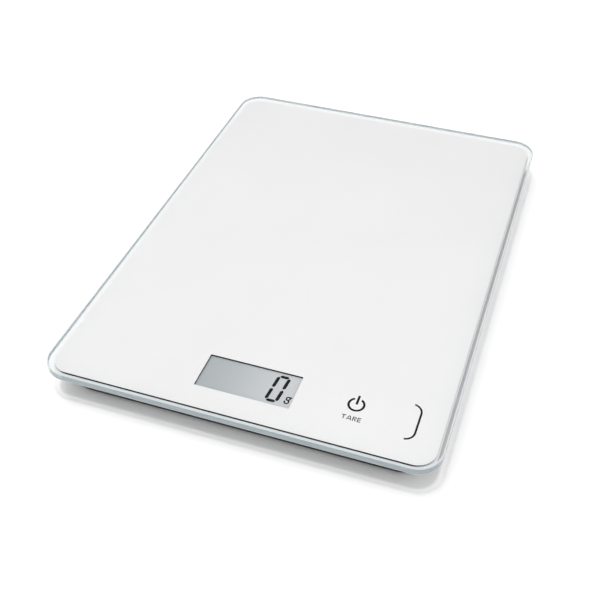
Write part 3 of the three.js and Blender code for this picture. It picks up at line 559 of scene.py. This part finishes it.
def drawA(bm, left, foot, width, z):
    height, stroke = keySign["wordHeight"], keySign["wordStroke"]
    middle = left + width / 2
    for side in (-1, 1):
        strokeBar(bm, (middle + side * (width - stroke) / 2, foot),
                  (middle + side * stroke / 2, foot + height), stroke, z)
    barY = foot + height * keySign["crossbarUp"]
    reach = width * keySign["crossbarReach"]
    strokeBar(bm, (middle - reach, barY), (middle + reach, barY), stroke, z)


def drawR(bm, left, foot, width, z):
    height, stroke = keySign["wordHeight"], keySign["wordStroke"]
    half, top, bowl = stroke / 2, foot + height, height * keySign["bowlShare"]
    strokeBar(bm, (left + half, foot), (left + half, top), stroke, z)
    for y in (top - half, top + half - 2 * bowl):
        strokeBar(bm, (left + stroke, y), (left + width - bowl, y), stroke, z)
    strokeArc(bm, (left + width - bowl, top - bowl), bowl - half, stroke, -90, 90, z,
              keySign["bowlSteps"])
    strokeBar(bm, (left + width * keySign["legShare"], top - 2 * bowl), (left + width - half, foot),
              stroke, z)


def drawE(bm, left, foot, width, z):
    height, stroke = keySign["wordHeight"], keySign["wordStroke"]
    strokeBar(bm, (left + stroke / 2, foot), (left + stroke / 2, foot + height), stroke, z)
    for up, reach in ((0, 1), (0.5, keySign["armShare"]), (1, 1)):
        y = foot + stroke / 2 + up * (height - stroke)
        strokeBar(bm, (left + stroke, y), (left + width * reach, y), stroke, z)


def makeWord(bm, centre, z):
    # the word for zeroing the scale, in plain single strokes
    widths, gap = keySign["letterWidths"], keySign["letterGap"]
    left = centre.x - (sum(widths) + gap * (len(widths) - 1)) / 2
    for drawLetter, width in zip((drawT, drawA, drawR, drawE), widths):
        drawLetter(bm, left, centre.y - keySign["wordBelow"], width, z)
        left += width + gap


bracket = {
    "fromKey": 28.2 * mm,  # its upright line beside the middle of the ring
    "front": 11.6 * mm, "back": 8.1 * mm,  # how far it reaches in front of and behind the ring's middle
    "corner": 4.3 * mm, "stroke": 0.92 * mm,
    "hookDeg": 84, "hookSteps": 20,  # how far each end turns in
}


def makeBracket(bm, centre, z):
    x = centre.x + bracket["fromKey"]
    corner, stroke, turn = bracket["corner"], bracket["stroke"], bracket["hookDeg"]
    low = centre.y - bracket["front"] + corner
    high = centre.y + bracket["back"] - corner
    strokeBar(bm, (x, low), (x, high), stroke, z)
    strokeArc(bm, (x - corner, high), corner, stroke, 0, turn, z, bracket["hookSteps"])
    strokeArc(bm, (x - corner, low), corner, stroke, -turn, 0, z, bracket["hookSteps"])


def makeSigns():
    centre = midOf("touch_pad")
    z = platterLow.z - printing["signBelow"] - printing["signThickness"]
    for name, maker in (("keySignRing", makePowerRing), ("keySignWord", makeWord),
                        ("keySignBracket", makeBracket)):
        bm = bmesh.new()
        maker(bm, centre, z)
        thicken(bm, printing["signThickness"])
        finishPiece(name, bm, "darkInk", "scale_body")


# display: polariser on the panel, with the segments that are on

panelLow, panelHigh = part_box("lcd_panel")
display = {
    "airGap": 0.004 * mm,  # under the film, and between the film and the segments
    "filmThickness": 0.02 * mm, "filmInset": 1.0 * mm, "filmCorner": 0.3 * mm, "filmSteps": 2,
    "segmentThickness": 0.008 * mm, "slantDeg": 5.3,
    "digitHeight": 16.2 * mm, "digitWidth": 6.5 * mm, "digitStroke": 1.55 * mm, "segmentGap": 0.3 * mm,
    "pointShare": 0.46,  # of the stroke, cut off each corner of a segment
    "digitMid": (13.6 * mm, 0.4 * mm),  # middle of the digit from the middle of the display
}
unitSign = {
    "middle": (20.0 * mm, -4.5 * mm),  # from the middle of the display
    "ring": 0.85 * mm, "stroke": 0.68 * mm,
    "bowlDrop": 1.3, "bowlRing": 1.1,  # place and size of the lower ring, in rings
    "bowlOpenDeg": 55,
    "earFrom": (0.7, 1.9), "earTo": (1.7, 2.1),  # in rings
}


def makePolariser():
    size = panelHigh - panelLow
    middle = (panelLow + panelHigh) / 2
    inset = display["filmInset"]
    bm = bmesh.new()
    roundedFace(bm, size.x - 2 * inset, size.y - 2 * inset, display["filmCorner"], middle.x, middle.y,
                panelHigh.z + display["airGap"], display["filmSteps"])
    thicken(bm, display["filmThickness"])
    finishPiece("displayPolariser", bm, "polariser", "scale_body")


def pointedBar(bm, start, end, z):
    # one segment: a straight bar with pointed ends
    stroke = display["digitStroke"]
    corners = strokeBar(bm, start, end, stroke, z)
    bmesh.ops.bevel(bm, geom=corners, offset=stroke * display["pointShare"], offset_type="OFFSET",
                    segments=1, profile=0.5, affect="VERTICES", clamp_overlap=True, material=-1)


def drawDigit(bm, z):
    # a seven-segment 0: everything but the middle bar
    halfWidth = (display["digitWidth"] - display["digitStroke"]) / 2
    halfHeight = (display["digitHeight"] - display["digitStroke"]) / 2
    gap = display["segmentGap"]
    for side in (-1, 1):
        x, y = side * halfWidth, side * halfHeight
        pointedBar(bm, (-halfWidth + gap, y), (halfWidth - gap, y), z)
        for foot in (-halfHeight, 0):
            pointedBar(bm, (x, foot + gap), (x, foot + halfHeight - gap), z)


def drawUnitSign(bm, z):
    # a small g: two rings, one above the other, and an ear
    ring, stroke = unitSign["ring"], unitSign["stroke"]
    strokeArc(bm, (0, ring), ring, stroke, -90, 270, z)
    strokeArc(bm, (0, -ring * unitSign["bowlDrop"]), ring * unitSign["bowlRing"], stroke,
              unitSign["bowlOpenDeg"] - 270, 90, z)
    strokeBar(bm, ring * Vector(unitSign["earFrom"]), ring * Vector(unitSign["earTo"]), stroke, z)


def leanAndPlace(bm, fromMiddle):
    # slants the sign as such displays do and moves it to its place on the panel
    lean = Matrix.Identity(4)
    lean[0][1] = math.tan(math.radians(display["slantDeg"]))
    middle = (panelLow + panelHigh) / 2
    bmesh.ops.transform(bm, matrix=lean, verts=bm.verts)
    bmesh.ops.translate(bm, verts=bm.verts, vec=(middle.x + fromMiddle[0], middle.y + fromMiddle[1], 0))


def makeSegments():
    z = panelHigh.z + display["filmThickness"] + 2 * display["airGap"]
    for name, draw, fromMiddle in (("displayDigit", drawDigit, display["digitMid"]),
                                   ("displayUnitSign", drawUnitSign, unitSign["middle"])):
        bm = bmesh.new()
        draw(bm, z)
        leanAndPlace(bm, fromMiddle)
        thicken(bm, display["segmentThickness"])
        finishPiece(name, bm, "segments", "scale_body")


makePlatter()
makeWhiteField()
makeSigns()
makePolariser()
makeSegments()
print("platter, print and display made")


# moulded pieces: the CAD shape with its edges softened as a mould leaves them

molding = {
    "weld": 0.002 * mm, "flatDeg": 1,  # joins the CAD's loose triangles into whole flat faces
    "sharpDeg": 40, "edgeSteps": 2,
    "smoothDeg": 20,  # less than the turn where a softened edge meets a face, which keeps the faces flat
}


def softened(node, name, finish, body, edge):
    bm = bmesh.new()
    bm.from_mesh(nodes[node].data)
    bmesh.ops.remove_doubles(bm, verts=bm.verts, dist=molding["weld"])
    bmesh.ops.dissolve_limit(bm, angle_limit=math.radians(molding["flatDeg"]), verts=bm.verts,
                             edges=bm.edges, use_dissolve_boundaries=False, delimit=set())
    sharpFrom = math.radians(molding["sharpDeg"])
    sharp = [side for side in bm.edges if side.is_manifold and side.calc_face_angle(0) > sharpFrom]
    bmesh.ops.bevel(bm, geom=sharp, offset=edge, offset_type="OFFSET", segments=molding["edgeSteps"],
                    profile=0.5, affect="EDGES", clamp_overlap=True, material=-1)
    bmesh.ops.triangulate(bm, faces=[face for face in bm.faces if len(face.verts) > 4])
    finishPiece(name, bm, finish, body, [node], smoothDeg=molding["smoothDeg"])


softened("upper_housing", "upperHousing", "whiteAbs", "scale_body", 0.15 * mm)
softened("bottom_cover", "bottomCover", "charcoalAbs", "scale_body", 0.15 * mm)
softened("battery_door", "batteryDoor", "charcoalAbs", "battery_door", 0.12 * mm)
print("housing, cover and door made")


# feet and button: turned pieces, finer than their CAD shapes

def turnedPiece(name, profile, node, finish, body, steps=72):
    # pairs of radius and height from the bottom of the axis to its top, spun round the node's middle
    centre = midOf(node)
    bm = bmesh.new()
    points = [bm.verts.new((centre.x + radius, centre.y, height)) for radius, height in profile]
    edges = [bm.edges.new(pair) for pair in zip(points, points[1:])]
    bmesh.ops.spin(bm, geom=points + edges, cent=(centre.x, centre.y, 0), axis=(0, 0, 1),
                   angle=2 * math.pi, steps=steps, use_merge=True, use_duplicate=False)
    bmesh.ops.remove_doubles(bm, verts=bm.verts, dist=0.001 * mm)
    finishPiece(name, bm, finish, body, [node])


footPad = {
    "hollowShare": 0.42, "hollowDepth": 0.4 * mm,
    "grooveShares": (0.6, 0.77), "grooveHalf": 0.25 * mm, "grooveDepth": 0.25 * mm,
    "edge": 0.4 * mm, "bead": 0.12 * mm,
}


def makeFootPad(corner):
    low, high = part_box("foot_pad_" + corner)
    radius = (high.x - low.x) / 2
    edge, bead, depth = footPad["edge"], footPad["bead"], footPad["hollowDepth"]
    hollow = radius * footPad["hollowShare"]
    profile = [(0, low.z + depth), (hollow, low.z + depth), (hollow + depth / 2, low.z)]
    for share in footPad["grooveShares"]:
        middle, half, grooveTop = radius * share, footPad["grooveHalf"], low.z + footPad["grooveDepth"]
        profile += [(middle - half, low.z), (middle, grooveTop), (middle + half, low.z)]
    profile += [(radius - edge, low.z), (radius - bead, low.z + bead), (radius, low.z + edge),
                (radius, high.z - bead), (radius - bead, high.z), (0, high.z)]
    turnedPiece("footPad_" + corner, profile, "foot_pad_" + corner, "rubber", "foot_" + corner)


footCarrier = {
    "radius": 10 * mm, "flangeThickness": 0.7 * mm,
    "postRadius": 4 * mm, "postHeight": 2.5 * mm, "edge": 0.25 * mm,
}


def makeFootCarrier(corner):
    low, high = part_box("foot_carrier_" + corner)
    flange = (high.x - low.x) / 2
    radius, edge, post = footCarrier["radius"], footCarrier["edge"], footCarrier["postRadius"]
    flangeTop = high.z - footCarrier["postHeight"]
    flangeBottom = flangeTop - footCarrier["flangeThickness"]
    profile = [(0, low.z), (radius - edge, low.z), (radius, low.z + edge), (radius, flangeBottom),
               (flange - edge, flangeBottom), (flange, flangeBottom + edge), (flange, flangeTop),
               (post + edge, flangeTop), (post, flangeTop + edge), (post, high.z - edge),
               (post - edge, high.z), (0, high.z)]
    turnedPiece("footCarrier_" + corner, profile, "foot_carrier_" + corner, "charcoalAbs",
                "foot_" + corner)


unitButton = {
    "radius": 4 * mm, "dishRadius": 2.9 * mm, "dishDepth": 0.3 * mm,
    "dishTurn": (0.6, 0.7),  # where the dish steepens, as shares of its radius and depth
    "edge": 0.3 * mm, "edgeTurn": 0.3,  # the edge's middle point, as a share of it
    "flangeThickness": 0.7 * mm, "flangeUp": 1.6 * mm, "stemRadius": 1.7 * mm,
}


def makeUnitButton():
    low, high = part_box("unit_button")
    flange = (high.x - low.x) / 2
    radius, edge, stem = unitButton["radius"], unitButton["edge"], unitButton["stemRadius"]
    dish, depth = unitButton["dishRadius"], unitButton["dishDepth"]
    turnOut, turnUp = unitButton["dishTurn"]
    turn = edge * unitButton["edgeTurn"]
    flangeBottom = low.z + unitButton["flangeUp"]
    flangeTop = flangeBottom + unitButton["flangeThickness"]
    profile = [(0, low.z + depth), (dish * turnOut, low.z + depth * turnUp), (dish, low.z),
               (radius - edge, low.z), (radius - turn, low.z + turn), (radius, low.z + edge),
               (radius, flangeBottom), (flange, flangeBottom), (flange, flangeTop),
               (stem, flangeTop), (stem, high.z), (0, high.z)]
    turnedPiece("unitButtonDished", profile, "unit_button", "greyAbs", "unit_button")


for footCorner in ("front_left", "front_right", "back_left", "back_right"):
    makeFootPad(footCorner)
    makeFootCarrier(footCorner)
makeUnitButton()
print("feet and button made")


# floor, light and camera

floor = {"size": 4.0, "below": 0.1 * mm, "colour": "#f1f1f1"}


def makeFloor():
    bm = bmesh.new()
    bmesh.ops.create_grid(bm, x_segments=1, y_segments=1, size=floor["size"] / 2,
                          matrix=Matrix.Translation((0, 0, -floor["below"])))
    mesh = bpy.data.meshes.new("floor")
    bm.to_mesh(mesh)
    bm.free()
    ground = bpy.data.objects.new("floor", mesh)
    bpy.context.scene.collection.objects.link(ground)
    paper = startMaterial("paperMattWhite", {
        "Base Color": floor["colour"], "Roughness": 0.9, "Specular IOR Level": 0.1})[0]
    mesh.materials.append(paper)


studio = {
    "tentLight": 0.88, "darkLight": 0.1,
    "darkSide": (-0.5, 0.866, 0), "darkFrom": 0.25, "darkFull": 0.68,  # how closely a direction faces it
}


def makeWorld():
    # a white tent that is open to the dark studio behind the scale, which keeps the black print black
    world = bpy.data.worlds.new("studio")
    world.use_nodes = True
    tree = world.node_tree
    tree.nodes.clear()
    direction = addNode(tree, "ShaderNodeTexCoord").outputs["Generated"]
    towards = addNode(tree, "ShaderNodeVectorMath", {"operation": "DOT_PRODUCT", 1: studio["darkSide"]},
                      {0: direction})
    strength = addNode(tree, "ShaderNodeMapRange", {
        "From Min": studio["darkFrom"], "From Max": studio["darkFull"],
        "To Min": studio["tentLight"], "To Max": studio["darkLight"]},
        {"Value": towards.outputs["Value"]})
    tent = addNode(tree, "ShaderNodeBackground", {"Color": "#ffffff"},
                   {"Strength": strength.outputs["Result"]})
    addNode(tree, "ShaderNodeOutputWorld", links={"Surface": tent.outputs[0]})
    bpy.context.scene.world = world


lamps = {
    "overheadSoftbox": {"place": (-0.45, 0.3, 1.5), "size": 1.3, "power": 11.0},
    "keySoftbox": {"place": (-0.02, -0.25, 1.6), "size": 0.2, "power": 6.5},
}


def makeLamp(name, settings):
    lamp = bpy.data.lights.new(name, "AREA")
    lamp.shape = "DISK"
    lamp.size = settings["size"]
    lamp.energy = settings["power"]
    holder = bpy.data.objects.new(name, lamp)
    holder.location = settings["place"]
    holder.rotation_euler = (-Vector(settings["place"])).to_track_quat("-Z", "Y").to_euler()
    holder.visible_glossy = False  # the lamp lights the scale, and doesn't show in the glass
    holder.visible_transmission = False
    bpy.context.scene.collection.objects.link(holder)


cameraSet = {
    "place": (118.4 * mm, -353.1 * mm, 319.15 * mm),
    "turnDeg": (47.308, -0.197, 18.385),
    "lens": 54.73, "sensor": 36, "shiftX": -0.0425, "clip": (0.01, 10),
}


def makeCamera():
    camera = bpy.data.cameras.new("camera")
    camera.lens = cameraSet["lens"]
    camera.sensor_width = cameraSet["sensor"]
    camera.shift_x = cameraSet["shiftX"]
    camera.clip_start, camera.clip_end = cameraSet["clip"]
    holder = bpy.data.objects.new("camera", camera)
    holder.location = cameraSet["place"]
    holder.rotation_euler = Euler([math.radians(turn) for turn in cameraSet["turnDeg"]])
    bpy.context.scene.collection.objects.link(holder)
    bpy.context.scene.camera = holder


makeFloor()
makeWorld()
for lampName, lampSettings in lamps.items():
    makeLamp(lampName, lampSettings)
makeCamera()
bpy.context.scene.view_settings.view_transform = "Standard"
print("floor, light and camera made")
